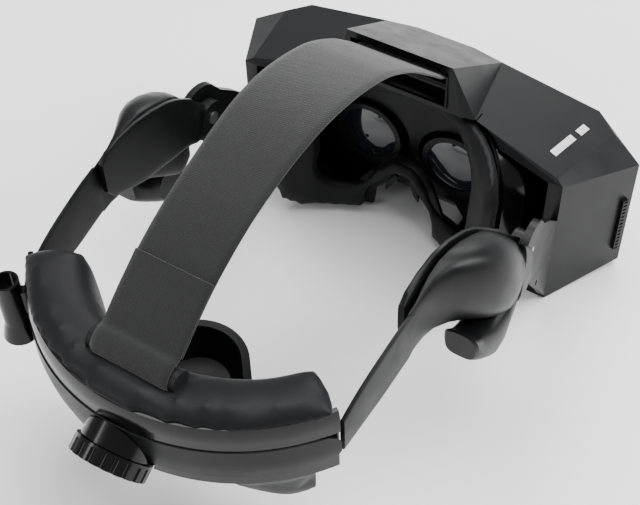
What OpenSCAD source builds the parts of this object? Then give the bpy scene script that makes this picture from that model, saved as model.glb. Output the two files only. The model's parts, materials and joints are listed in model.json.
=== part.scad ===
// Wide head-mounted display with hinged ear-speaker arms, a rear cradle on a size dial and a top strap.
// X is the wearer's left, the visor faces -Y and Z is up. The origin is the middle of the visor's widest
// line, at the height of its upper side corners.

/* [Visor] */
// Overall width of the visor across its side corners
visor_w = 282; // [278:1:284]
// Height of the visor's side walls
visor_side_h = 90; // [88:1:92]
// Thickness of the moulded visor wall
wall = 2.4; // [2:0.2:3]
// Height of the strap bracket's ledge above the side corners
bracket_h = 66; // [64:1:68]

/* [Optics] */
// Distance between the two lens centres at rest
lens_spacing = 64; // [62:1:66]
// Outer diameter of each lens barrel
lens_d = 48; // [46:1:50]
// Travel of each lens from the middle position to either stop
lens_travel = 4; // [2:0.5:4]

/* [Arms] */
// Distance of the arm hinge behind the origin
hinge_y = 100; // [98:1:102]
// Height of the arm hinge
hinge_z = 2; // [0:1:4]
// Radius of the hinge pin
pin_r = 4; // [3:0.5:5]

/* [Rear cradle] */
// Radius of the cradle's outer shell
cradle_r = 118; // [117:1:119]
// Distance of the cradle's centre behind the origin
cradle_y = 209; // [207:1:211]
// Angle from the middle to each end of the cradle shell
cradle_span = 57; // [55:1:58]
// Inner radius of the rear cushion
cushion_r = 83; // [80:1:86]
// Travel of the size slide either way from the modelled position
size_travel = 8; // [4:1:10]
// Diameter of the size dial
dial_d = 42; // [38:1:44]

/* [Top strap] */
// Width of the webbing at the visor bracket
strap_w_front = 62.6; // [60:0.2:63.2]
// Width of the webbing at the rear cradle
strap_w_rear = 47; // [44:1:50]
// Thickness of the webbing
strap_t = 2.4; // [2:0.2:3]

/* [Hidden] */
$fn = 64;

half_w = visor_w / 2;
floor_z = -visor_side_h;
gap = 0.3;

// ---------- shared shapes ----------

// Mirrors its children to the wearer's right when side is -1
module sided(side) {
    if (side < 0) mirror([1, 0, 0]) children();
    else children();
}

// Closed solid through a list of rings that all have the same number of points
module loft(rings) {
    n = len(rings[0]);
    last = len(rings) - 1;
    points = [for (r = rings) for (p = r) p];
    sides = [
        for (i = [0 : last - 1]) for (j = [0 : n - 1])
            let (k = (j + 1) % n, a = i * n + j, b = i * n + k)
            each [[a, b, b + n], [a, b + n, a + n]]
    ];
    near_cap = [for (j = [n - 1 : -1 : 0]) j];
    far_cap = [for (j = [0 : n - 1]) last * n + j];
    polyhedron(points, concat([near_cap], sides, [far_cap]), convexity = 6);
}

// Rounded outline in the XZ plane at distance y: half sizes hw and hh; a higher power e is squarer
function round_ring(y, cx, cz, hw, hh, e = 3, n = 24) = [
    for (i = [0 : n - 1])
        let (t = 360 * i / n, c = cos(t), s = sin(t))
        [cx + hw * sign(c) * pow(abs(c), 2 / e), y, cz + hh * sign(s) * pow(abs(s), 2 / e)]
];

// Arc points in 2D from angle a0 to a1
function arc(cx, cy, r, a0, a1, n = 8) = [
    for (i = [0 : n]) let (t = a0 + (a1 - a0) * i / n) [cx + r * cos(t), cy + r * sin(t)]
];

// Ring section swept about the cradle's centre, span degrees each side of the middle
module cradle_arc(span) {
    translate([0, cradle_y, 0])
        rotate([0, 0, 90 - span])
            rotate_extrude(angle = 2 * span, $fn = 180) children();
}

// Plate in the YZ plane, t thick and starting at x0; its outline has Y as X and Z as Y
module side_plate(x0, t) {
    translate([x0, 0, 0]) rotate([90, 0, 90]) linear_extrude(t) children();
}

// Plate in the XZ plane, from y0 to y1; its outline has X as X and Z as Y
module face_plate(y0, y1) {
    translate([0, y1, 0]) rotate([90, 0, 0]) linear_extrude(y1 - y0) children();
}

// Cylinder along X, starting at x0
module x_rod(x0, length, r, y = 0, z = 0) {
    translate([x0, y, z]) rotate([0, 90, 0]) cylinder(h = length, r = r);
}

// Cylinder along Y, starting at y0
module y_rod(y0, length, r, x = 0, z = 0) {
    translate([x, y0, z]) rotate([-90, 0, 0]) cylinder(h = length, r = r);
}

// ---------- visor housing ----------

side_edge_x = 113.2;
side_edge_y = 51.7;
top_slope = 0.271;
top_ref = [105.3, 14.2];
// Height of the flat upper facets at a distance x from the middle
function facet_z(x) = top_ref[1] + top_slope * (top_ref[0] - abs(x));

bracket_x = 36;
// Corners of the faceted housing on the wearer's left; the right side mirrors them
housing_points = [
    [half_w, 0, 0], [half_w, 0, floor_z + 5], [half_w - 4, -2, floor_z],
    [105.2, -16.8, facet_z(105.2)], [120.3, -6.8, facet_z(120.3)], [108.4, 49.4, facet_z(108.4)],
    [side_edge_x, side_edge_y, 10.5], [side_edge_x, side_edge_y, floor_z],
    [41.5, -8.5, facet_z(41.5)], [20, -11, 31.4], [50.5, 44.7, facet_z(50.5)],
    [98, -31, -10], [38, -31, 4], [96, -31, -62], [36, -31, -76], [106, -16, floor_z], [38, -21, floor_z],
    [44, 47, floor_z]
];
// Corners of the hump that rises to the strap bracket's ledge
hump_points = [
    [41.5, -8.5, facet_z(41.5)], [20, -11, 32.6], [50.5, 44.7, facet_z(50.5)], [bracket_x, 50, bracket_h],
    [48, 47, 4], [41, -6, 4]
];
housing_mid = [0, 10, -22];
housing_half = [half_w, 41, 68];

// Convex hull of the points and their mirror images, shrunk evenly about the housing's middle
module faceted(corners, inset) {
    k = [for (i = [0 : 2]) 1 - inset / housing_half[i]];
    points = [
        for (s = [-1, 1]) for (p = corners)
            [s * p.x * k.x, housing_mid.y + (p.y - housing_mid.y) * k.y,
             housing_mid.z + (p.z - housing_mid.z) * k.z]
    ];
    hull() polyhedron(points, [[for (i = [0 : len(points) - 1]) i]]);
}
module housing_body(inset = 0) {
    faceted(housing_points, inset);
    faceted(hump_points, inset);
}

// Hollow under the housing for the wearer's nose, grown by g
module nose_scoop(g = 0) {
    intersection() {
        face_plate(0, 90) polygon([
            [-14 - g, -47 + g], [14 + g, -47 + g], [30 + g, -66], [50 + g, -96],
            [-50 - g, -96], [-30 - g, -66]
        ]);
        side_plate(-60, 120) polygon([[4 - 1.3 * g, -96], [47, -40 + g], [90, -40 + g], [90, -96]]);
    }
}

// Outline of the open back, grown or shrunk by g
module back_outline(g = 0) {
    polygon([
        [-104 - g, -84 - g], [104 + g, -84 - g], [104 + g, 10 + g], [50, 22 + g], [46, 30 + g],
        [-46, 30 + g], [-50, 22 + g], [-104 - g, 10 + g]
    ]);
}

plate_y = 25;
tray_t = 2.4;
recess_y = 26;
recess_x = bracket_x - 2.6;
// Side profile of the strap recess under the ledge
module recess_outline() {
    polygon([[recess_y, 33.5], [70, 33.5], [70, 73], [52, 62], [recess_y, 49]]);
}

jack_x = -96;
inlet_x = 96;
socket_z = -75;
socket_y0 = 16;
jack_r = 3;
inlet_r = 2.2;
inlet_wall = 1.5;
screw_r = 1.5;
screw_levels = [-20, -52];
screw_x = 110.7;

// Buttons on the wearer's right upper facet: place, length and angle in plan
rocker_at = [-99.8, 24.5];
rocker_l = 21;
power_at = [-103.6, 5.2];
power_l = 8.6;
button_w = 4.8;
button_angle = -11;
facet_tilt = atan(top_slope);
button_depth = 3.6;
button_travel = 0.6;
plunger_low = -5.9;
switch_h = 2.6;
switch_low = plunger_low - button_travel - 0.2 - switch_h;

// Places its children on the right upper facet with their Y axis along the buttons
module on_facet(at) {
    translate([at[0], at[1], facet_z(at[0])])
        rotate([0, -facet_tilt, 0])
            rotate([0, 0, button_angle]) children();
}

vent_count = 14;
vent_pitch = 3.2;
vent_z = -26.5;
end_angle = atan((half_w - side_edge_x) / side_edge_y);

// Places its children on the end facet: X along the facet from its front edge, Y into it
module on_end_facet(side) {
    sided(side) translate([half_w, 0, 0]) rotate([0, 0, 90 + end_angle]) children();
}

wheel_z = -77;
wheel_r = 11;

module front_shell() {
    color("#2b2c2e") difference() {
        housing_body();
        difference() {
            housing_body(wall);
            for (s = [-1, 1]) for (z = screw_levels) y_rod(38, 20, 4, s * screw_x, z);
            translate([-6, -8.6, floor_z]) cube([12, 3.2, 22]);
            nose_scoop(wall);
        }
        y_rod(-12, 10, 2.05, 0, wheel_z);
        nose_scoop();
        face_plate(plate_y - tray_t - gap, 70) back_outline();
        face_slab(-10, cushion_depth + frame_depth + 2 * gap) mask_outline(2 * gap);
        side_plate(-recess_x, 2 * recess_x) recess_outline();
        on_facet(rocker_at) cube([button_w + 2 * gap, rocker_l + 2 * gap, 14], center = true);
        on_facet(power_at) cube([button_w + 2 * gap, power_l + 2 * gap, 14], center = true);
        for (s = [-1, 1]) for (z = screw_levels) y_rod(36, 24, screw_r, s * screw_x, z);
        for (s = [-1, 1]) on_end_facet(s)
            translate([4.5, -6, vent_z - vent_count * vent_pitch + 1])
                cube([4.4, 12, vent_count * vent_pitch]);
        translate([-13, -4, floor_z - 1]) cube([26, 10, wall + 2.4]);
    }
}

// Tray that closes the back of the housing around the light shield
module rear_housing() {
    color("#17181a") difference() {
        face_plate(plate_y - tray_t, plate_y) back_outline(-gap);
        for (s = [-1, 1]) for (x = [-lens_travel, 0, lens_travel])
            y_rod(plate_y - 4, 6, lens_d / 2 + 0.6, s * lens_spacing / 2 + x, lens_z);
        nose_scoop(gap);
        y_rod(plate_y - 4, 8, jack_r + gap, jack_x, socket_z);
        y_rod(plate_y - 4, 8, inlet_r + inlet_wall + gap, inlet_x, socket_z);
        translate([-108, plate_y - 4, 2]) cube([15, 8, 12]);
    }
}

// ---------- face side ----------

face_r = 104;
face_front_y = 42;
face_tilt = 4;
cushion_depth = 10;
frame_depth = 2.4;

// Solid cylinder whose skin follows the face; depth moves it away from the wearer
module face_cylinder(depth) {
    translate([0, face_front_y + face_r, -22])
        rotate([face_tilt, 0, 0])
            translate([0, 0, -110]) cylinder(h = 220, r = face_r + depth, $fn = 180);
}

// Curved slab between two depths, in the XZ outline given by the children
module face_slab(near, far) {
    intersection() {
        face_plate(-10, 118) children();
        difference() {
            face_cylinder(far);
            face_cylinder(near);
        }
    }
}

mask_w = 80;
mask_top = 29;
mask_low = -89.5;
module mask_outline(g = 0) {
    polygon(concat(
        arc(mask_w - 36, mask_top - 36, 36 + g, 0, 90),
        arc(-mask_w + 36, mask_top - 36, 36 + g, 90, 180),
        arc(-mask_w + 18, mask_low + 18, 18 + g, 180, 270, 6),
        [[-26 - g, mask_low - g], [-25 - g, -72], [-13 - g, -60], [-7 - g, -50],
         [7 + g, -50], [13 + g, -60], [25 + g, -72], [26 + g, mask_low - g]],
        arc(mask_w - 18, mask_low + 18, 18 + g, 270, 360, 6)
    ));
}
module mask_window(g = 0) {
    polygon(concat(
        arc(26, -14, 30 + g, 0, 90), arc(-26, -14, 30 + g, 90, 180),
        [[-56 - g, -54], [-50, -66 - g], [-30, -66 - g], [-18, -48], [-8, -38],
         [8, -38], [18, -48], [30, -66 - g], [50, -66 - g], [56 + g, -54]]
    ));
}

module face_cushion() {
    color("#3b3d40") face_slab(0, cushion_depth) difference() {
        mask_outline();
        mask_window();
    }
}

module face_frame() {
    color("#1d1e20") face_slab(cushion_depth, cushion_depth + frame_depth) difference() {
        mask_outline(-3);
        mask_window(4);
    }
}

// Thin flap that closes the sides of the nose gap
module nose_guard() {
    color("#4a4c4f") for (s = [-1, 1]) sided(s)
        face_slab(cushion_depth - 5, cushion_depth - 3)
            polygon([[6.4, -50.6], [12.4, -60.6], [12.4, -66], [9, -62], [4, -52]]);
}

shield_w = 96;
shield_h = 53;
shield_z = -30;

// Glossy light shield: bulges out of the housing and narrows to the face frame
shield_stations = [[plate_y + 0.1, 0], [39, 0], [47, 2], [54, 6], [61, 12], [67, 19]];
function shield_rings(g, first, last) = [
    for (i = [0 : len(shield_stations) - 1])
        let (s = shield_stations[i], end = i == 0 ? first : i == len(shield_stations) - 1 ? last : 0)
        round_ring(s[0] + end, 0, shield_z, shield_w - s[1] - g, shield_h - s[1] - g, 3.4, 40)
];
module light_shield() {
    color("#101114") difference() {
        loft(shield_rings(0, 0, 0));
        loft(shield_rings(3, -1, 1));
        face_cylinder(cushion_depth + frame_depth);
        nose_scoop(1);
        translate([-20, 0, -60]) cube([40, 60, 26]);
    }
}

// ---------- strap bracket ----------

bar_y = 44;
bar_z = 46.5;
bar_r = 3;
module strap_bracket() {
    color("#141416") for (s = [-1, 1]) sided(s) difference() {
        side_plate(recess_x - 1.3, 1.2)
            polygon([[recess_y + 0.2, 33.7], [50, 33.7], [50, 58], [recess_y + 0.2, 48]]);
        x_rod(recess_x - 4, 8, bar_r, bar_y, bar_z);
    }
}
module bracket_bar() {
    color("#2a2a2c") x_rod(-recess_x + 0.1, 2 * recess_x - 0.2, bar_r, bar_y, bar_z);
}

// ---------- hinge ears ----------

ear_t = 4.5;
ear_lean = atan(0.092);
ear_end_r = 19;
// Rounded ear that reaches back from the edge of the housing to the hinge; X runs from the housing
module ear_outline() {
    polygon(concat(
        [[0.1, -88], [0.1, -18], [5.3, -13], [18.4, 0], [30, 9]],
        arc(hinge_y - side_edge_y, hinge_z + 1, ear_end_r, 125, -50, 16),
        [[52, -19], [46, -26], [28, -49], [14, -68]]
    ));
}
ear_hole_at = [79, -46];
module hinge_ear(side) {
    color("#34363a") sided(side) difference() {
        translate([side_edge_x, side_edge_y, 0]) rotate([0, 0, -ear_lean])
            side_plate(-ear_t, ear_t) ear_outline();
        x_rod(100, 30, pin_r, hinge_y, hinge_z);
        x_rod(100, 30, 2, ear_hole_at[0], ear_hole_at[1]);
        for (z = screw_levels) y_rod(40, 16, screw_r, screw_x, z);
    }
}

hub_x0 = 105;
hub_x1 = 111.4;
module hinge_pins() {
    color("#8b8d90") for (s = [-1, 1]) sided(s) x_rod(hub_x0 - 1, 13.2, pin_r, hinge_y, hinge_z);
}

// Screws that hold the hinge ears to the housing's rim
module ear_screws() {
    color("#55585c") for (s = [-1, 1]) for (z = screw_levels) y_rod(38, 18, screw_r, s * screw_x, z);
}

// ---------- inside the visor ----------

panel_w = 112;
panel_h = 62;
panel_x = 58;
panel_z = -33;
panel_y = -13;

module display_panels() {
    color("#0c1430") for (s = [-1, 1])
        translate([s * panel_x - panel_w / 2, panel_y - 2.2, panel_z - panel_h / 2])
            cube([panel_w, 2.2, panel_h]);
}

module display_carrier() {
    color("#202124") difference() {
        union() {
            translate([-116, panel_y, panel_z - 35]) cube([232, 3, 70]);
            for (s = [-1, 1]) for (t = [-1, 1])
                translate([s * 74 - 3, panel_y + 1, lens_z + t * rail_z - 4])
                    cube([6, lens_y - panel_y + 3, 8]);
        }
        for (t = [-1, 1]) x_rod(-90, 180, rail_r, lens_y, lens_z + t * rail_z);
        for (s = [-1, 1]) translate([s * panel_x - 50, panel_y - 1, panel_z - 27]) cube([100, 5, 54]);
    }
}

module main_board() {
    color("#1d4a2e") translate([-75, -20.5, panel_z - 24]) cube([150, 1.6, 48]);
    color("#1b1b1d") for (x = [-50, -15, 22, 52]) translate([x - 8, -22.5, panel_z - 8]) cube([16, 2, 16]);
}

module tracking_sensors() {
    color("#0b0b0d") for (x = [-70, -50, 50, 70]) for (z = [-22, -50]) y_rod(-28, 4, 5, x, z);
}

module cable_inlet() {
    color("#55575b") difference() {
        y_rod(socket_y0, plate_y + 1.5 - socket_y0, inlet_r + inlet_wall, inlet_x, socket_z);
        y_rod(socket_y0 + 2, 20, inlet_r, inlet_x, socket_z);
    }
}

socket_wall = 1.3;
module headphone_jack() {
    color("#3a3a3c") difference() {
        y_rod(socket_y0, plate_y + 1.5 - socket_y0, jack_r, jack_x, socket_z);
        y_rod(socket_y0 + 2, 20, jack_r - socket_wall, jack_x, socket_z);
    }
}

// Slotted inserts in the end facets
module side_vents() {
    color("#141517") for (s = [-1, 1]) on_end_facet(s) difference() {
        translate([4.8, -wall, vent_z - vent_count * vent_pitch + 1.3])
            cube([3.8, wall - 0.2, vent_count * vent_pitch - 0.6]);
        for (i = [0 : vent_count - 1])
            translate([5.4, -wall - 1, vent_z - i * vent_pitch - 1.4]) cube([2.6, wall + 2, 1.5]);
    }
}

module button_board() {
    color("#1d4a2e") on_facet([-101.5, 16]) translate([-4, -22, -11]) cube([8, 27, 1.6]);
    color("#c9cacc") {
        on_facet(rocker_at) translate([-2, -7, switch_low]) cube([4, 14, switch_h]);
        on_facet(power_at) translate([-2, -2, switch_low]) cube([4, 4, switch_h]);
    }
}

rail_r = 1.5;
rail_z = 30;
lens_z = -33;
lens_y = 14;
module lens_rails() {
    color("#a8abad") for (s = [-1, 1]) x_rod(-76, 152, rail_r, lens_y, lens_z + s * rail_z);
}

// ---------- controls ----------

module button_cap(at, l) {
    color("#d9dadb") on_facet(at) {
        translate([-button_w / 2, -l / 2, -button_depth]) cube([button_w, l, button_depth + 0.5]);
        translate([-1.2, -l / 4, plunger_low]) cube([2.4, l / 2, 3]);
    }
}
module power_button() { button_cap(power_at, power_l); }
module volume_rocker() { button_cap(rocker_at, rocker_l); }

pinion_r = 4;
wheel_y = 0;
pinion_y = 6;
rack_t = 2.2;
mesh_gap = 0.15;
// Thumb wheel and pinion that move both lenses
module ipd_wheel() {
    color("#26272a") difference() {
        union() {
            y_rod(wheel_y - 3, 5.6, wheel_r, 0, wheel_z);
            y_rod(wheel_y - 8.4, 17, 2, 0, wheel_z);
            y_rod(pinion_y - 1, 5, pinion_r, 0, wheel_z);
        }
        for (i = [0 : 17]) translate([0, wheel_y - 4, wheel_z]) rotate([0, 20 * i, 0])
            translate([wheel_r - 0.5, 0, -0.5]) cube([2, 8, 1]);
    }
}

// Barrel with rail lugs and the rack that the wheel drives
module lens_carriage(side) {
    rack_low = side > 0 ? wheel_z + pinion_r + mesh_gap : wheel_z - pinion_r - mesh_gap - rack_t;
    color("#1a1b1d") sided(side) difference() {
        union() {
            y_rod(2, 27.3, lens_d / 2, lens_spacing / 2, lens_z);
            for (s = [-1, 1]) translate([lens_spacing / 2 - 8, lens_y - 5, lens_z + s * (rail_z - 1) - 6])
                cube([16, 10, 12]);
            translate([lens_spacing / 2 - 5, pinion_y - 1, rack_low])
                cube([10, 4, lens_z - 20 - rack_low]);
            translate([-12, pinion_y - 1, rack_low]) cube([lens_spacing / 2 + 12, 4, rack_t]);
        }
        y_rod(-4, 30, lens_d / 2 - 5, lens_spacing / 2, lens_z);
        y_rod(25.9, 10, lens_d / 2 - 4, lens_spacing / 2, lens_z);
        for (s = [-1, 1]) x_rod(0, 90, rail_r + 0.05, lens_y, lens_z + s * rail_z);
    }
}

// Domed lens held in the barrel's mouth
module lens(side) {
    r = lens_d / 2 - 4.1;
    color("#9fb4c8", 0.5) sided(side) translate([lens_spacing / 2, 26.1, lens_z]) rotate([-90, 0, 0])
        intersection() {
            cylinder(h = 6, r = r);
            translate([0, 0, 5.5 - 60]) sphere(r = 60, $fn = 96);
        }
}

// ---------- arms ----------

plate_t = 3.5;
// Inner plate stations: distance, middle, top and bottom heights
plate_stations = [
    [103, 109.5, 14, -12], [112, 107.5, 23, -8], [120, 104, 33, -3], [130, 101, 42, 4], [140, 98.5, 50, 9],
    [150, 97, 55.5, 12], [165, 95.7, 61.5, 16], [180, 95, 64.5, 19], [195, 95, 64.5, 24], [206, 95, 62, 29],
    [211, 95, 57, 36]
];
module arm_plate(side) {
    color("#2e3033") sided(side) difference() {
        union() {
            loft([for (s = plate_stations)
                round_ring(s[0], s[1], (s[2] + s[3]) / 2, plate_t / 2, (s[2] - s[3]) / 2, 5)]);
            x_rod(hub_x0, hub_x1 - hub_x0, 11, hinge_y, hinge_z);
        }
        x_rod(hub_x0 - 4, 20, pin_r + 0.05, hinge_y, hinge_z);
    }
}

// Outer shell stations: distance, inner and outer faces, top and bottom heights
shell_stations = [
    [107, 120.4, 121.8, 11, -14], [112, 120.4, 122.8, 20, -17], [118, 120.4, 123.6, 27, -16],
    [124, 120.4, 124.2, 33, -14], [124.6, 106.5, 124.3, 35, -14], [132, 103.8, 126, 43.5, -15],
    [140, 101.5, 127.2, 50, -14], [150, 99.8, 127.2, 55, -6], [160, 98.7, 124.2, 59, 2],
    [170, 98.2, 118.5, 61.8, 10], [180, 97.8, 111.5, 62.2, 15.5], [190, 97.8, 106, 60, 19],
    [198, 98.4, 103.8, 57, 20.5], [205, 99.2, 102.5, 54.8, 19.9], [211.7, 99.1, 101.7, 53.1, 18.7]
];
// Section of the shell: square against the plate and rounded outside
function shell_ring(s, n = 36) = [
    for (i = [0 : n - 1])
        let (t = 360 * i / n, c = cos(t), q = sin(t), e = c < 0 ? 8 : 2.4,
             mid = s[1] + (s[2] - s[1]) * 0.22, w = c < 0 ? mid - s[1] : s[2] - mid,
             h = (s[3] - s[4]) / 2)
        [mid + w * sign(c) * pow(abs(c), 2 / e), s[0], (s[3] + s[4]) / 2 + h * sign(q) * pow(abs(q), 2 / e)]
];
// Speaker hook stations along its curved axis: distance, height, inner and outer faces, half thickness, lean
hook_stations = [
    [126, 6, 106, 123.8, 14, 10], [134, -6, 104, 125.2, 15.5, 25], [144, -14, 103, 126, 15, 12],
    [155, -15, 103, 126, 14.5, -6], [165, -10, 103, 126, 14, -18], [173, -3, 103.3, 125.6, 13, -14],
    [178, 2, 104, 125, 12, -8], [180, 3, 105.5, 123.5, 10, -4]
];
driver_y = 150;
driver_z = -13;
driver_r = 11;
function hook_ring(s, n = 24) = [
    for (i = [0 : n - 1])
        let (t = 360 * i / n, c = cos(t), q = sin(t), e = 3.2,
             u = (s[3] - s[2]) / 2 * sign(c) * pow(abs(c), 2 / e),
             v = s[4] * sign(q) * pow(abs(q), 2 / e))
        [(s[2] + s[3]) / 2 + u, s[0] + v * sin(-s[5]), s[1] + v * cos(s[5])]
];
module arm_shell(side) {
    color("#34363a") sided(side) difference() {
        union() {
            loft([for (s = shell_stations) shell_ring(s)]);
            loft([for (s = hook_stations) hook_ring(s)]);
        }
        x_rod(102, 14, driver_r + 0.1, driver_y, driver_z);
    }
}
module speaker_driver(side) {
    color("#56585b") sided(side) {
        x_rod(107.5, 8.3, 7, driver_y, driver_z);
        x_rod(104.5, 3, driver_r, driver_y, driver_z);
    }
}
module speaker_grille(side) {
    color("#0f1012") sided(side) x_rod(103.1, 1.2, driver_r, driver_y, driver_z);
}

band_t = 2.6;
band_lean = 2.9;
// Flexible side band, leaning slightly inwards towards the rear
module band(side) {
    color("#38393c") sided(side) translate([100.7, 205, 0]) rotate([0, 0, band_lean]) translate([0, -205, 0])
        side_plate(-band_t / 2, band_t) polygon([
            [212.2, 18.6], [212.2, 53], [225, 50.6], [245, 44.8], [260, 38.5], [270, 33.5],
            [270, 8.5], [250, 11], [235, 13.4], [222, 16.2]
        ]);
}

// ---------- rear cradle ----------

module cradle_shell() {
    color("#46484c") difference() {
        intersection() {
            cradle_arc(cradle_span) polygon([
                [cradle_r - 2.6, 6.5], [cradle_r - 0.6, 5.5], [cradle_r + 0.4, 14], [cradle_r, 27.5],
                [cradle_r - 2.6, 28]
            ]);
            side_plate(-130, 260) polygon(concat(arc(284.5, 17, 12, 90, 270, 12), [[340, 5], [340, 29]]));
        }
        dial_clearance();
        dial_frame() translate([0, 0, -30]) cylinder(h = 60, r = shaft_r + 0.05);
    }
}

// Glossy carrier with the channel that the racks slide in
module cradle_backing() {
    color("#1c1d20") difference() {
        cradle_arc(cradle_span) polygon([
            [105, -4], [cradle_r - 2.8, -4], [cradle_r - 2.8, 28.3], [cradle_r - 0.7, 28.3],
            [cradle_r - 1, 39], [cradle_r - 2.5, 43.5], [cradle_r - 5, 43.5], [cradle_r - 5, 36], [105, 36]
        ]);
        cradle_arc(cradle_span + 2) polygon([[106.2, 5.2], [113, 5.2], [113, 18.8], [106.2, 18.8]]);
        dial_clearance();
        dial_frame() translate([0, 0, -30]) cylinder(h = 60, r = shaft_r + 0.05);
    }
}

rack_r = 110.3;
rack_span = 51;
// How far a rack runs past the dial, so that it stays in mesh over the whole travel
rack_past = 2 + size_travel / rack_r * 180 / PI;
shaft_r = 1.8;
dial_y = 323.5;
dial_z = 8.7;
dial_tilt = 32;
pinion_at = -6;
dial_pinion_r = 3.2;
// Height of the pinion's middle inside the channel
channel_z = dial_z + sin(dial_tilt) * -pinion_at;
// Curved rack: starts beside the mouth and runs just past the dial
module rack(side) {
    z0 = side > 0 ? channel_z + 3.75 : channel_z - 6.15;
    color("#6a6c70") sided(side) translate([0, cradle_y, 0]) rotate([0, 0, 90 - rack_span])
        rotate_extrude(angle = rack_span + rack_past, $fn = 180)
            translate([rack_r - 1, z0]) square([2, 2.4]);
}

cushion_top = 49;
anchor_y = 301;
anchor_z = 50;
anchor_r = 6;
module rear_cushion() {
    color("#303236") difference() {
        cradle_arc(cradle_span) polygon([
            [104.6, -12], [90, -12], [84, -6], [cushion_r, 10], [cushion_r, 36], [88, 45], [97, cushion_top],
            [107, cushion_top + 0.6], [113, cushion_top - 1], [cradle_r - 1.6, 44.6],
            [cradle_r - 1.6, 43.8], [cradle_r - 5.3, 43.8], [cradle_r - 5.3, 36.3], [104.6, 36.3]
        ]);
        x_rod(-30, 60, anchor_r + 1.6, anchor_y, anchor_z);
        translate([-30, anchor_y - 30, anchor_z - 8]) cube([60, 30, 30]);
    }
}

// Lower cup that holds the back of the head, with a lobe each side
module neck_cradle() {
    color("#26282b") difference() {
        intersection() {
            cradle_arc(cradle_span) polygon([
                [86, -12.4], [105, -12.4], [105, -4.4], [112, -4.4], [109, -14], [99, -30], [94, -48],
                [91.5, -66], [89, -70], [86, -70], [83, -62], [83, -40]
            ]);
            face_plate(180, 360) polygon(concat(
                [[-100, 0], [100, 0], [92, -30], [87, -48]], arc(66, -54, 16, 10, -100, 7),
                [[42, -50], [28, -34], [14, -24], [-14, -24], [-28, -34], [-42, -50]],
                arc(-66, -54, 16, 280, 170, 7), [[-87, -48], [-92, -30]]
            ));
        }
        dial_clearance();
    }
}

// Shallow cup under the back of the head, open at the top
module neck_dish() {
    color("#1b1c1e") difference() {
        intersection() {
            hull() {
                translate([0, 263, -21]) cylinder(h = 23, r1 = 22, r2 = 30, $fn = 48);
                for (s = [-1, 1]) translate([s * 24, 286, -21]) cylinder(h = 23, r1 = 18, r2 = 26, $fn = 48);
            }
            translate([0, cradle_y, -40]) cylinder(h = 60, r = cushion_r - 0.3, $fn = 180);
        }
        hull() {
            translate([0, 263, -17]) cylinder(h = 23, r1 = 18.5, r2 = 27, $fn = 48);
            for (s = [-1, 1]) translate([s * 24, 286, -17]) cylinder(h = 23, r1 = 14, r2 = 23, $fn = 48);
        }
    }
}

module strap_anchor() {
    color("#303236") x_rod(-27, 54, anchor_r, anchor_y, anchor_z);
}

clip_angle = 38;
clip_dist = 128.6;
clip_r = 7.2;
clip_wall = 1.5;
clip_h = 33;
module cylinder_at_clip(z, h, r1, r2) {
    translate([clip_dist, 0, z]) cylinder(h = h, r1 = r1, r2 = r2);
}
// Slotted tube on the wearer's left that guides the cable; it flares at its lower mouth
module cable_clip() {
    color("#232427") translate([0, cradle_y, 0]) rotate([0, 0, clip_angle]) difference() {
        union() {
            cylinder_at_clip(0, clip_h, clip_r, clip_r);
            cylinder_at_clip(-10, 12, clip_r + 3, clip_r);
            translate([cradle_r - 1, -3, 9]) cube([8, 6, 16]);
        }
        cylinder_at_clip(-11, 60, clip_r - clip_wall, clip_r - clip_wall);
        cylinder_at_clip(-10.1, 11, clip_r + 1.8, clip_r - clip_wall);
        translate([clip_dist, -1.6, -11]) cube([20, 3.2, 60]);
        translate([0, 0, -20]) cylinder(h = 80, r = cradle_r + 0.7, $fn = 180);
    }
}

// Frame of the size dial: its Z axis is the dial's own axis
module dial_frame() {
    translate([0, dial_y, dial_z]) rotate([-90 - dial_tilt, 0, 0]) children();
}

collar_h = 4.5;
knob_h = 9;
// Room that the knob turns in
module dial_clearance() {
    dial_frame() translate([0, 0, collar_h - 0.4]) cylinder(h = 30, r = dial_d / 2 + 0.6);
}
module dial_collar() {
    color("#17181a") difference() {
        dial_frame() difference() {
            translate([0, 0, -8]) cylinder(h = 8 + collar_h, r = dial_d / 2 - 2);
            translate([0, 0, -9]) cylinder(h = 20, r = shaft_r + 0.05);
        }
        translate([0, cradle_y, -60]) cylinder(h = 160, r = cradle_r + 0.6, $fn = 180);
    }
}

rib_count = 20;
module size_dial() {
    color("#101113") dial_frame() difference() {
        union() {
            translate([0, 0, collar_h + gap]) cylinder(h = knob_h, r = dial_d / 2);
            translate([0, 0, pinion_at - 1.8]) cylinder(h = collar_h - pinion_at + 3, r = shaft_r);
            translate([0, 0, pinion_at - 1.5]) cylinder(h = 3, r = dial_pinion_r);
        }
        for (i = [0 : rib_count - 1]) rotate([0, 0, 360 * i / rib_count])
            translate([dial_d / 2 + 0.7, 0, collar_h + 1.8]) cylinder(h = knob_h, r = 1.6, $fn = 24);
    }
}

// ---------- top strap ----------

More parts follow.
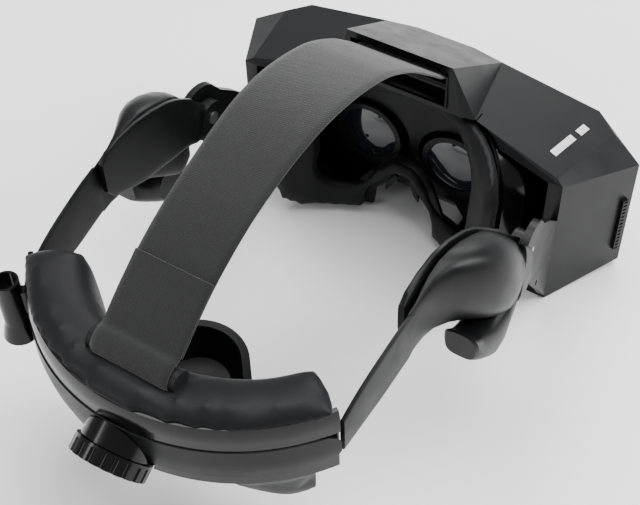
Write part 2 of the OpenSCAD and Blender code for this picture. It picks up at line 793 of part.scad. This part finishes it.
// Strap path from the bracket to the rear: distance, height and share of the extra width at the front
strap_path = [
    [41, 51.6, 1], [50, 56.5, 1], [58, 63.5, 0.98], [66, 70.2, 0.87], [80, 81.5, 0.66], [95, 91, 0.54],
    [110, 98.5, 0.45], [130, 104.7, 0.41], [150, 108.4, 0.37], [170, 109.2, 0.33], [190, 106.8, 0.2],
    [210, 102, 0.08], [230, 96, 0.03], [248, 88.5, 0.01], [264, 80, 0], [278, 70.5, 0], [287, 63.2, 0],
    [294, 57.5, 0]
];
function strap_half(share) = (strap_w_rear + (strap_w_front - strap_w_rear) * share) / 2;
function strap_normal(i) =
    let (a = strap_path[max(i - 1, 0)], b = strap_path[min(i + 1, len(strap_path) - 1)],
         d = [b[0] - a[0], b[1] - a[1]])
    [-d[1], d[0]] / norm(d);
function strap_section(i, low, high) =
    let (p = strap_path[i], n = strap_normal(i), w = strap_half(p[2]))
    [[-w, p[0] + n[0] * low, p[1] + n[1] * low], [-w, p[0] + n[0] * high, p[1] + n[1] * high],
     [w, p[0] + n[0] * high, p[1] + n[1] * high], [w, p[0] + n[0] * low, p[1] + n[1] * low]];

module top_strap() {
    color("#2f3135")
        loft([for (i = [0 : len(strap_path) - 1]) strap_section(i, -strap_t / 2, strap_t / 2)]);
}

// Doubled end of the webbing, stuck back on itself above the cradle
module strap_end() {
    first = len(strap_path) - 4;
    last = len(strap_path) - 1;
    color("#2b2d30")
        loft([for (i = [first : last]) strap_section(i, strap_t / 2 + gap, strap_t / 2 + gap + 2)]);
}

// ---------- nodes ----------

front_shell();
rear_housing();
light_shield();
face_frame();
face_cushion();
nose_guard();
strap_bracket();
bracket_bar();
hinge_ear(1);  // hinge_ear_left
hinge_ear(-1);  // hinge_ear_right
hinge_pins();
ear_screws();
display_carrier();
display_panels();
main_board();
tracking_sensors();
cable_inlet();
headphone_jack();
side_vents();
button_board();
lens_rails();
power_button();
volume_rocker();
ipd_wheel();
lens_carriage(1);  // lens_carriage_left
lens_carriage(-1);  // lens_carriage_right
lens(1);  // lens_left
lens(-1);  // lens_right
arm_plate(1);  // arm_plate_left
arm_plate(-1);  // arm_plate_right
arm_shell(1);  // arm_shell_left
arm_shell(-1);  // arm_shell_right
speaker_driver(1);  // speaker_driver_left
speaker_driver(-1);  // speaker_driver_right
speaker_grille(1);  // speaker_grille_left
speaker_grille(-1);  // speaker_grille_right
band(1);  // band_left
band(-1);  // band_right
cradle_shell();
cradle_backing();
rack(1);  // rack_left
rack(-1);  // rack_right
rear_cushion();
neck_cradle();
neck_dish();
strap_anchor();
cable_clip();
dial_collar();
size_dial();
top_strap();
strap_end();
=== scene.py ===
"""Wide VR headset: materials, soft parts, strap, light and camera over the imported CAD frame."""

import json
import math

import bmesh
import bpy
import numpy as np
from mathutils import Matrix, Vector


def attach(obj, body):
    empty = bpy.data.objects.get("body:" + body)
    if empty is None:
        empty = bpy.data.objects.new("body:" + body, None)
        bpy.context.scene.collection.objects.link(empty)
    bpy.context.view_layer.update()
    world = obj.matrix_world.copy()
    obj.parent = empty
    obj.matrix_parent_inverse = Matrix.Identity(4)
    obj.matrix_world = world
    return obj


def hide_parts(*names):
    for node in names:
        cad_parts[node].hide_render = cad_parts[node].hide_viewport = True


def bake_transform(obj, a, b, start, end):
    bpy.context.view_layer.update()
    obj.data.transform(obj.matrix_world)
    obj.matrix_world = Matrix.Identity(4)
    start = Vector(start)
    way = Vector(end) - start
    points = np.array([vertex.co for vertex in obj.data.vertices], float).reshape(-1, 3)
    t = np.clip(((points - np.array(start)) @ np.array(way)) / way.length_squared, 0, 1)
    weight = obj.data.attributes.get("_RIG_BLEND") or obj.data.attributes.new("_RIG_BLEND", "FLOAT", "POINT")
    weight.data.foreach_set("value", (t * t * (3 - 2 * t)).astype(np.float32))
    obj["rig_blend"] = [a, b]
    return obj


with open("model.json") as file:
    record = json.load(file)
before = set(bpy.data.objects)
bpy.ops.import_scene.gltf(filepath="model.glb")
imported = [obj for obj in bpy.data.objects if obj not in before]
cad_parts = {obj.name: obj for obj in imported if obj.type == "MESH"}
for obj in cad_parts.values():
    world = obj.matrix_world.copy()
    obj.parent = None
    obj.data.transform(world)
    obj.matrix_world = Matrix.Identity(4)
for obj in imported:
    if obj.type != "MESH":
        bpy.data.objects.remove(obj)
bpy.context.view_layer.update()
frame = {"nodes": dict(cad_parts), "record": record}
NODES = frame["nodes"]

# ---------- materials ----------


class Graph:
    """Small helper that builds a node material and wires its sockets."""

    def __init__(self, name):
        self.material = bpy.data.materials.new(name)
        self.material.use_nodes = True
        self.tree = self.material.node_tree
        self.shader = self.tree.nodes["Principled BSDF"]

    def node(self, kind, **inputs):
        made = self.tree.nodes.new(kind)
        for key, value in inputs.items():
            made.inputs[key.replace("_", " ")].default_value = value
        return made

    def link(self, source, target):
        self.tree.links.new(source, target)

    def setting(self, **values):
        for key, value in values.items():
            self.shader.inputs[key.replace("_", " ")].default_value = value

    def coords(self, kind="Object"):
        return self.node("ShaderNodeTexCoord").outputs[kind]

    def noise(self, scale, detail=4.0, rough=0.55, coords=None):
        made = self.node("ShaderNodeTexNoise", Scale=scale, Detail=detail, Roughness=rough)
        self.link(coords or self.coords(), made.inputs["Vector"])
        return made.outputs["Fac"]

    def ramp(self, source, low, high, value_low, value_high):
        made = self.node("ShaderNodeMapRange")
        limits = {"From Min": low, "From Max": high, "To Min": value_low, "To Max": value_high}
        for key, value in limits.items():
            made.inputs[key].default_value = value
        self.link(source, made.inputs["Value"])
        return made.outputs["Result"]

    def math(self, operation, a, b=None):
        made = self.tree.nodes.new("ShaderNodeMath")
        made.operation = operation
        for place, value in enumerate((a, b)):
            if value is None:
                continue
            if isinstance(value, (int, float)):
                made.inputs[place].default_value = value
            else:
                self.link(value, made.inputs[place])
        return made.outputs["Value"]

    def mix_colors(self, factor, dark, light):
        made = self.tree.nodes.new("ShaderNodeMix")
        made.data_type = "RGBA"
        self.link(factor, made.inputs["Factor"])
        made.inputs["A"].default_value = (*dark, 1.0)
        made.inputs["B"].default_value = (*light, 1.0)
        return made.outputs["Result"]

    def color(self, source):
        self.link(source, self.shader.inputs["Base Color"])

    def roughness(self, source):
        self.link(source, self.shader.inputs["Roughness"])

    def bump(self, height, strength, distance):
        made = self.node("ShaderNodeBump", Strength=strength, Distance=distance)
        self.link(height, made.inputs["Height"])
        self.link(made.outputs["Normal"], self.shader.inputs["Normal"])


def moulded(name, tone, rough, grain=2600.0, depth=0.25, coat=0.0, shine=0.14):
    """Moulded plastic or rubber: fine grain, faint tone drift and uneven polish."""
    g = Graph(name)
    drift = g.noise(22.0, 3.0)
    g.color(g.mix_colors(drift, [c * 0.86 for c in tone], [c * 1.14 for c in tone]))
    g.roughness(g.ramp(g.noise(70.0, 5.0), 0.3, 0.7, rough - 0.05, rough + 0.06))
    g.bump(g.noise(grain, 2.0), depth, 0.0001)
    g.setting(Specular_IOR_Level=shine, Coat_Weight=coat, Coat_Roughness=0.1)
    return g.material


def leatherette(name, tone, rough):
    """Soft skin over foam: pebbled grain with pores, rougher in the hollows."""
    g = Graph(name)
    cells = g.node("ShaderNodeTexVoronoi", Scale=1100.0)
    g.link(g.coords(), cells.inputs["Vector"])
    pores = g.math("MULTIPLY", cells.outputs["Distance"], 0.8)
    height = g.math("ADD", pores, g.math("MULTIPLY", g.noise(420.0, 4.0), 0.6))
    drift = g.noise(16.0, 3.0)
    g.color(g.mix_colors(drift, [c * 0.84 for c in tone], [c * 1.16 for c in tone]))
    g.roughness(g.ramp(height, 0.2, 0.9, rough + 0.06, rough - 0.06))
    g.bump(height, 0.28, 0.00012)
    g.setting(Specular_IOR_Level=0.12, Sheen_Weight=0.03, Sheen_Roughness=0.45)
    return g.material


def webbing(name, tone):
    """Brushed loop webbing: rows of yarn along and across under a short fuzzy pile, with painted shade in
    its hollows and a painted highlight on the raised yarn.
    """
    g = Graph(name)
    uv = g.coords("UV")
    split = g.node("ShaderNodeSeparateXYZ")
    g.link(uv, split.inputs["Vector"])
    across = g.math("SINE", g.math("MULTIPLY", split.outputs["X"], 3600.0))
    along = g.math("SINE", g.math("MULTIPLY", split.outputs["Y"], 3100.0))
    weave = g.math("MULTIPLY", across, along)
    pile = g.noise(1500.0, 6.0, 0.7, uv)
    clumps = g.noise(160.0, 4.0, 0.6, uv)
    fuzz = g.math("ADD", pile, g.math("MULTIPLY", clumps, 0.5))
    height = g.math("ADD", g.math("MULTIPLY", weave, 0.18), fuzz)
    # Painted shade and highlight: the colour is darkened in the low parts of the weave and pile and
    # lightened on the raised yarn, following the bump height.
    painted_weave_light = g.ramp(height, 0.4, 1.15, 0.0, 1.0)
    g.color(g.mix_colors(painted_weave_light, [c * 0.55 for c in tone], [c * 1.6 for c in tone]))
    g.bump(height, 0.6, 0.0005)
    g.setting(Roughness=0.92, Specular_IOR_Level=0.2, Sheen_Weight=0.35, Sheen_Roughness=0.5)
    return g.material


def metal(name, tone, rough):
    """Turned or drawn metal with fine streaks."""
    g = Graph(name)
    streaks = g.noise(900.0, 3.0)
    g.roughness(g.ramp(streaks, 0.3, 0.7, rough - 0.06, rough + 0.08))
    g.bump(streaks, 0.12, 0.00005)
    g.setting(Base_Color=(*tone, 1.0), Metallic=1.0)
    return g.material


def glass(name, tone, rough):
    """Coated lens or panel glass: clear with a faint tint and a little dust."""
    g = Graph(name)
    dust = g.noise(600.0, 4.0)
    g.roughness(g.ramp(dust, 0.45, 0.75, rough, rough + 0.05))
    g.bump(g.noise(60.0, 2.0), 0.02, 0.0001)
    g.setting(Base_Color=(*tone, 1.0), IOR=1.49, Coat_Weight=0.6, Coat_Roughness=0.03)
    return g.material


MATERIALS = {
    "housing_plastic": moulded("housing_plastic", (0.0085, 0.0088, 0.0095), 0.34, 1900.0, 0.3, shine=0.16),
    "black_plastic": moulded("black_plastic", (0.0055, 0.0057, 0.0062), 0.36, shine=0.15),
    "gloss_black": moulded("gloss_black", (0.003, 0.003, 0.0034), 0.2, 900.0, 0.06, coat=0.25),
    "foam": leatherette("foam", (0.0075, 0.0077, 0.0085), 0.5),
    "rubber": moulded("rubber", (0.008, 0.0082, 0.009), 0.42, 2200.0, 0.3),
    "steel": metal("steel", (0.35, 0.35, 0.36), 0.35),
    "acetal": moulded("acetal", (0.3, 0.3, 0.3), 0.45),
    "webbing": webbing("webbing", (0.006, 0.0062, 0.0068)),
    "silver_plastic": metal("silver_plastic", (0.85, 0.85, 0.86), 0.32),
    "circuit_board": moulded("circuit_board", (0.01, 0.06, 0.025), 0.4),
    "display_glass": glass("display_glass", (0.004, 0.005, 0.012), 0.08),
    "lens_glass": glass("lens_glass", (0.01, 0.011, 0.014), 0.05),
    "sensor_window": moulded("sensor_window", (0.005, 0.005, 0.006), 0.15, coat=0.5),
    "speaker": moulded("speaker", (0.02, 0.02, 0.022), 0.45),
}


def dress(obj, slot_name):
    """Gives an object its one material."""
    obj.data.materials.clear()
    obj.data.materials.append(MATERIALS[slot_name])


def shade_smooth(mesh):
    mesh.polygons.foreach_set("use_smooth", [True] * len(mesh.polygons))


def shade_node(obj, angle):
    """Smooth shading for a CAD node by modifiers, so that its own mesh stays as it is."""
    shade_smooth(obj.data)
    weld = obj.modifiers.new("weld", "WELD")
    weld.merge_threshold = 0.00001
    split = obj.modifiers.new("split", "EDGE_SPLIT")
    split.split_angle = math.radians(angle)
    split.use_edge_sharp = False


def shade_piece(obj, angle):
    """Smooth shading for a closed piece, which stays closed: edges over the angle are marked sharp."""
    shade_smooth(obj.data)
    shape = bmesh.new()
    shape.from_mesh(obj.data)
    limit = math.radians(angle)
    sharp = [len(e.link_faces) == 2 and e.calc_face_angle(0.0) > limit for e in shape.edges]
    shape.free()
    layers = obj.data.attributes
    layer = layers.get("sharp_edge") or layers.new("sharp_edge", "BOOLEAN", "EDGE")
    layer.data.foreach_set("value", sharp)


SLOT_OF = {part["node"]: part["material_slot"] for part in frame["record"]["subparts"]}
SMOOTH_ANGLE = {"front_shell": 8.0}
for node_name, node in NODES.items():
    dress(node, SLOT_OF[node_name])
    shade_node(node, SMOOTH_ANGLE.get(node_name, 32.0))

# ---------- mesh helpers ----------


def new_object(name, vertices, faces, slot_name, angle):
    """A closed piece from its vertices and faces, with one material."""
    mesh = bpy.data.meshes.new(name)
    mesh.from_pydata([tuple(v) for v in vertices], [], faces)
    mesh.update()
    obj = bpy.data.objects.new(name, mesh)
    bpy.context.scene.collection.objects.link(obj)
    dress(obj, slot_name)
    shade_piece(obj, angle)
    return obj


def apply_modifiers(obj):
    """Replaces the mesh with what its modifiers make of it."""
    graph = bpy.context.evaluated_depsgraph_get()
    made = bpy.data.meshes.new_from_object(obj.evaluated_get(graph), depsgraph=graph)
    obj.modifiers.clear()
    old = obj.data
    obj.data = made
    bpy.data.meshes.remove(old)


SPLINE_STEPS = 24


def spline(points, count):
    """Samples of a Catmull-Rom curve through rows of numbers, even in the arc length of the first two."""
    points = np.array(points, float)
    ends = np.vstack([2 * points[0] - points[1], points, 2 * points[-1] - points[-2]])
    fine = []
    for i in range(1, len(ends) - 2):
        p0, p1, p2, p3 = ends[i - 1:i + 3]
        for t in np.linspace(0, 1, SPLINE_STEPS, endpoint=False):
            fine.append(0.5 * (2 * p1 + (p2 - p0) * t + (2 * p0 - 5 * p1 + 4 * p2 - p3) * t ** 2
                               + (3 * p1 - p0 - 3 * p2 + p3) * t ** 3))
    fine = np.array(fine + [ends[-2]])
    steps = np.r_[0, np.cumsum(np.linalg.norm(np.diff(fine[:, :2], axis=0), axis=1))]
    wanted = np.linspace(0, steps[-1], count)
    return np.stack([np.interp(wanted, steps, column) for column in fine.T], axis=1), steps[-1]


def tube_faces(rows, size):
    """Faces of a closed tube: rows of size vertices each, with a cap on both ends."""
    faces = [
        (i * size + j, i * size + (j + 1) % size, (i + 1) * size + (j + 1) % size, (i + 1) * size + j)
        for i in range(rows - 1) for j in range(size)
    ]
    return faces + [tuple(range(size))[::-1], tuple((rows - 1) * size + j for j in range(size))]


# ---------- cushions ----------

CLOTH_STEPS = 20


def cushion(node_name, name, voxel, shrink, pressure, cap):
    """A padded copy of a CAD solid: remeshed, shrunk, swollen by cloth pressure and subdivided.
    """
    source = NODES[node_name]
    obj = bpy.data.objects.new(name, source.data.copy())
    bpy.context.scene.collection.objects.link(obj)
    obj.data.materials.clear()
    remesh = obj.modifiers.new("remesh", "REMESH")
    remesh.mode = "VOXEL"
    remesh.voxel_size = voxel
    relax = obj.modifiers.new("smooth", "SMOOTH")
    relax.factor = 0.6
    relax.iterations = 6
    apply_modifiers(obj)
    mesh = obj.data
    count = len(mesh.vertices)
    rest = np.zeros(count * 3)
    mesh.vertices.foreach_get("co", rest)
    normals = np.zeros(count * 3)
    mesh.vertex_normals.foreach_get("vector", normals)
    start = (rest - normals * shrink).reshape(-1, 3)
    mesh.vertices.foreach_set("co", start.ravel())
    mesh.update()
    cloth = obj.modifiers.new("cloth", "CLOTH")
    cloth.settings.quality = 4
    cloth.settings.mass = 0.2
    cloth.settings.use_pressure = True
    cloth.settings.uniform_pressure_force = pressure
    cloth.settings.tension_stiffness = 12.0
    cloth.settings.compression_stiffness = 12.0
    cloth.settings.bending_stiffness = 0.8
    cloth.settings.effector_weights.gravity = 0.0
    cloth.point_cache.frame_start = 1
    cloth.point_cache.frame_end = CLOTH_STEPS
    for step in range(1, CLOTH_STEPS + 1):
        bpy.context.scene.frame_set(step)
    apply_modifiers(obj)
    bpy.context.scene.frame_set(1)
    swollen = np.zeros(len(obj.data.vertices) * 3)
    obj.data.vertices.foreach_get("co", swollen)
    move = swollen.reshape(-1, 3) - start
    length = np.linalg.norm(move, axis=1, keepdims=True)
    move *= np.minimum(1.0, cap / np.maximum(length, 1e-9))
    obj.data.vertices.foreach_set("co", (start + move).ravel())
    obj.data.update()
    subdivision = obj.modifiers.new("subdivision", "SUBSURF")
    subdivision.levels = subdivision.render_levels = 1
    apply_modifiers(obj)
    dress(obj, "foam")
    shade_smooth(obj.data)
    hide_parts(node_name)
    return obj


face_pad = cushion("face_cushion", "face_pad", 0.004, 0.0012, 4.0, 0.002)
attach(face_pad, "visor")
bolster = cushion("rear_cushion", "bolster", 0.0045, -0.0012, 4.0, 0.005)
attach(bolster, "cradle")
neck_pad = cushion("neck_cradle", "neck_pad", 0.004, 0.0012, 4.0, 0.002)
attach(neck_pad, "cradle")

# ---------- webbing ----------

# Path of the top strap: distance, height and half width, in metres
STRAP_PATH = [
    (0.041, 0.0516, 0.0314), (0.050, 0.0565, 0.0314), (0.058, 0.0635, 0.0312), (0.066, 0.0702, 0.0304),
    (0.080, 0.0815, 0.0288), (0.095, 0.091, 0.0278), (0.110, 0.0985, 0.0271), (0.130, 0.1047, 0.0267),
    (0.150, 0.1084, 0.0264), (0.170, 0.1092, 0.0258), (0.190, 0.1068, 0.0249), (0.210, 0.102, 0.0241),
    (0.230, 0.096, 0.0237), (0.248, 0.0885, 0.0236), (0.264, 0.080, 0.0235), (0.278, 0.0705, 0.0235),
    (0.287, 0.0632, 0.0235), (0.294, 0.0575, 0.0235),
]
STRAP_T = 0.0024
RIBBON_COLUMNS = 24
RIBBON_EDGE = 0.94    # share of the half width where the rounding of the edge starts


def ribbon(name, path, count, thickness, first=0, last=None):
    """A flat band of cloth along rows first to last of a path in the YZ plane, with UVs in metres.

    Returns the piece with its length, its greatest width and its flat area.
    """
    line, length = spline(path, count)
    tangent = np.gradient(line[:, :2], axis=0)
    tangent /= np.linalg.norm(tangent, axis=1, keepdims=True)
    normal = np.stack([-tangent[:, 1], tangent[:, 0]], axis=1)
    across = np.linspace(-1, 1, RIBBON_COLUMNS + 1)
    past = np.clip((np.abs(across) - RIBBON_EDGE) / (1 - RIBBON_EDGE), 0, 1)
    edge = np.sqrt(np.clip(1 - past ** 2, 0.05, 1))
    ring = [(a, thickness / 2 * e) for a, e in zip(across, edge)]
    ring += [(a, -thickness / 2 * e) for a, e in zip(across[::-1], edge[::-1])]
    size = len(ring)
    vertices = []
    uvs = []
    last = count - 1 if last is None else last
    rows = last - first + 1
    for i in range(first, last + 1):
        for a, t in ring:
            vertices.append((a * line[i, 2], line[i, 0] + normal[i, 0] * t, line[i, 1] + normal[i, 1] * t))
            uvs.append((a * line[i, 2], length * i / (count - 1)))
    faces = tube_faces(rows, size)
    obj = new_object(name, vertices, faces, "webbing", 50.0)
    layer = obj.data.uv_layers.new(name="UVMap")
    for loop in obj.data.loops:
        layer.data[loop.index].uv = uvs[loop.vertex_index]
    widths = 2 * line[first:last + 1, 2]
    part_length = length * (rows - 1) / (count - 1)
    area = float(((widths[1:] + widths[:-1]) / 2).mean() * part_length)
    return obj, part_length, float(widths.max()), area


# The strap is two pieces that meet where both follow the arms: the front one crosses the arm hinge and the
# rear one crosses the size slide, so that its end stays with the roll and the flap on the cradle.
STRAP_ROWS = 160
STRAP_SPLIT = 98
STRAP_PARTS = [
    ("crown_strap_front", 0, STRAP_SPLIT, "visor", "arms",
     (0, 0.06, 0.066), (0, 0.19, 0.107), "bracket_bar"),
    ("crown_strap_rear", STRAP_SPLIT, STRAP_ROWS - 1, "arms", "cradle",
     (0, 0.215, 0.1), (0, 0.262, 0.081), "strap_anchor"),
]
for name, first, last, body_a, body_b, start, end, support in STRAP_PARTS:
    strap, strap_length, strap_width, strap_area = ribbon(
        name, STRAP_PATH, STRAP_ROWS, STRAP_T, first, last)
    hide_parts("top_strap")
    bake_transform(strap, body_a, body_b, start, end)

# Path of the doubled strap end, in the same terms
FLAP_PATH = [
    (0.2645, 0.0818, 0.0235), (0.272, 0.0763, 0.0235), (0.280, 0.0707, 0.0235), (0.288, 0.0645, 0.0235),
    (0.295, 0.0588, 0.0235), (0.3005, 0.0578, 0.0235), (0.3055, 0.0548, 0.0235), (0.3075, 0.0495, 0.0235),
    (0.305, 0.0445, 0.0235),
]
FLAP_ROWS = 60
FLAP_T = 0.0019
flap, flap_length, _, _ = ribbon("strap_flap", FLAP_PATH, FLAP_ROWS, FLAP_T)
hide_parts("strap_end")
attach(flap, "cradle")

# ---------- side bands ----------

# Outline of a side band: distance, upper and lower edge heights, in metres. It starts inside the arm shell.
BAND_EDGES = [
    (0.2075, 0.0522, 0.0222), (0.2112, 0.0524, 0.0196), (0.2121, 0.0531, 0.0187), (0.220, 0.0517, 0.0169),
    (0.225, 0.0506, 0.0157), (0.235, 0.0478, 0.0134), (0.245, 0.0448, 0.0119),
    (0.255, 0.0411, 0.0105), (0.2625, 0.0376, 0.0094), (0.270, 0.0335, 0.0085),
]
BAND_ROWS = 40
BAND_T = 0.0026
BAND_X = 0.1007      # middle of its thickness at BAND_Y
BAND_Y = 0.205
BAND_LEAN = math.tan(math.radians(2.9))


def side_band(name, side):
    """A flexible side band with rounded long edges, leaning inwards towards the rear."""
    rows, _ = spline(BAND_EDGES, BAND_ROWS)
    profile = [(1.0, 0.35), (0.94, 0.8), (0.84, 1.0), (0.0, 1.0), (-0.84, 1.0), (-0.94, 0.8), (-1.0, 0.35)]
    ring = profile + [(v, -h) for v, h in profile[::-1]]
    size = len(ring)
    vertices = []
    for y, top, low in rows:
        middle = BAND_X - (y - BAND_Y) * BAND_LEAN
        for v, h in ring:
            vertices.append((side * (middle + h * BAND_T / 2), y, (top + low) / 2 + v * (top - low) / 2))
    faces = tube_faces(len(rows), size)
    if side < 0:
        faces = [face[::-1] for face in faces]
    return new_object(name, vertices, faces, "rubber", 60.0)


for word, side in (("left", 1), ("right", -1)):
    strip = side_band("side_band_" + word, side)
    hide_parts("band_" + word)
    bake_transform(strip, "arms", "cradle", (side * 0.1, 0.216, 0.03), (side * 0.1, 0.266, 0.03))

# ---------- floor, light and camera ----------

FLOOR_Z = -0.0905
FLOOR_SIZE = 8.0
WORLD_STRENGTH = 0.45


def plane(name, size, location):
    """A level square sheet around its location."""
    half = size / 2
    mesh = bpy.data.meshes.new(name)
    corners = [(-half, -half, 0), (half, -half, 0), (half, half, 0), (-half, half, 0)]
    mesh.from_pydata(corners, [], [(0, 1, 2, 3)])
    obj = bpy.data.objects.new(name, mesh)
    obj.location = location
    bpy.context.scene.collection.objects.link(obj)
    return obj


def floor_material():
    """Pale paper with a faint drift of tone."""
    g = Graph("floor_paper")
    g.color(g.mix_colors(g.noise(3.0, 2.0), (0.84, 0.84, 0.845), (0.87, 0.87, 0.875)))
    g.bump(g.noise(500.0, 3.0), 0.03, 0.0002)
    g.setting(Roughness=0.9)
    return g.material


floor = plane("floor", FLOOR_SIZE, (0, 0, FLOOR_Z))
floor.data.materials.append(floor_material())


def softbox(name, location, target, size, power):
    """A white area light that faces its target."""
    light = bpy.data.lights.new(name, "AREA")
    light.shape = "RECTANGLE"
    light.size, light.size_y = size
    light.energy = power
    obj = bpy.data.objects.new(name, light)
    obj.location = location
    obj.rotation_euler = (Vector(target) - Vector(location)).to_track_quat("-Z", "Y").to_euler()
    bpy.context.scene.collection.objects.link(obj)


MIDDLE = (0, 0.13, 0.0)
softbox("top_light", (0.0, -0.1, 1.5), MIDDLE, (1.6, 1.2), 46.0)
softbox("key_light", (-1.3, -0.5, 1.0), MIDDLE, (0.7, 0.7), 30.0)
softbox("front_light", (0.3, -1.3, 0.9), MIDDLE, (1.0, 0.7), 16.0)
softbox("rear_light", (0.7, 1.3, 0.7), MIDDLE, (0.7, 0.5), 8.0)

world = bpy.data.worlds.new("studio")
world.use_nodes = True
world.node_tree.nodes["Background"].inputs["Color"].default_value = (1, 1, 1, 1)
world.node_tree.nodes["Background"].inputs["Strength"].default_value = WORLD_STRENGTH
bpy.context.scene.world = world

CAMERA_AT = Vector((-0.2753, 0.5451, 0.5203))
CAMERA_AZIMUTH = math.radians(214.2)
CAMERA_ELEVATION = math.radians(48.2)
CAMERA_ROLL = math.radians(-2.2)
CAMERA_LENS = 68.64
CAMERA_SENSOR = 36.0


def camera_turn(azimuth, elevation, roll):
    """Rotation of a camera at an azimuth and elevation, rolled about its line of sight."""
    back = Vector((math.sin(azimuth) * math.cos(elevation), -math.cos(azimuth) * math.cos(elevation),
                   math.sin(elevation)))
    right = (-back).cross(Vector((0, 0, 1))).normalized()
    up = back.cross(right)
    turned_right = math.cos(roll) * right + math.sin(roll) * up
    turned_up = -math.sin(roll) * right + math.cos(roll) * up
    return Matrix((turned_right, turned_up, back)).transposed()


camera = bpy.data.objects.new("camera", bpy.data.cameras.new("camera"))
camera.data.sensor_width = CAMERA_SENSOR
camera.data.lens = CAMERA_LENS
camera.matrix_world = Matrix.Translation(CAMERA_AT) @ camera_turn(
    CAMERA_AZIMUTH, CAMERA_ELEVATION, CAMERA_ROLL).to_4x4()
bpy.context.scene.collection.objects.link(camera)
bpy.context.scene.camera = camera
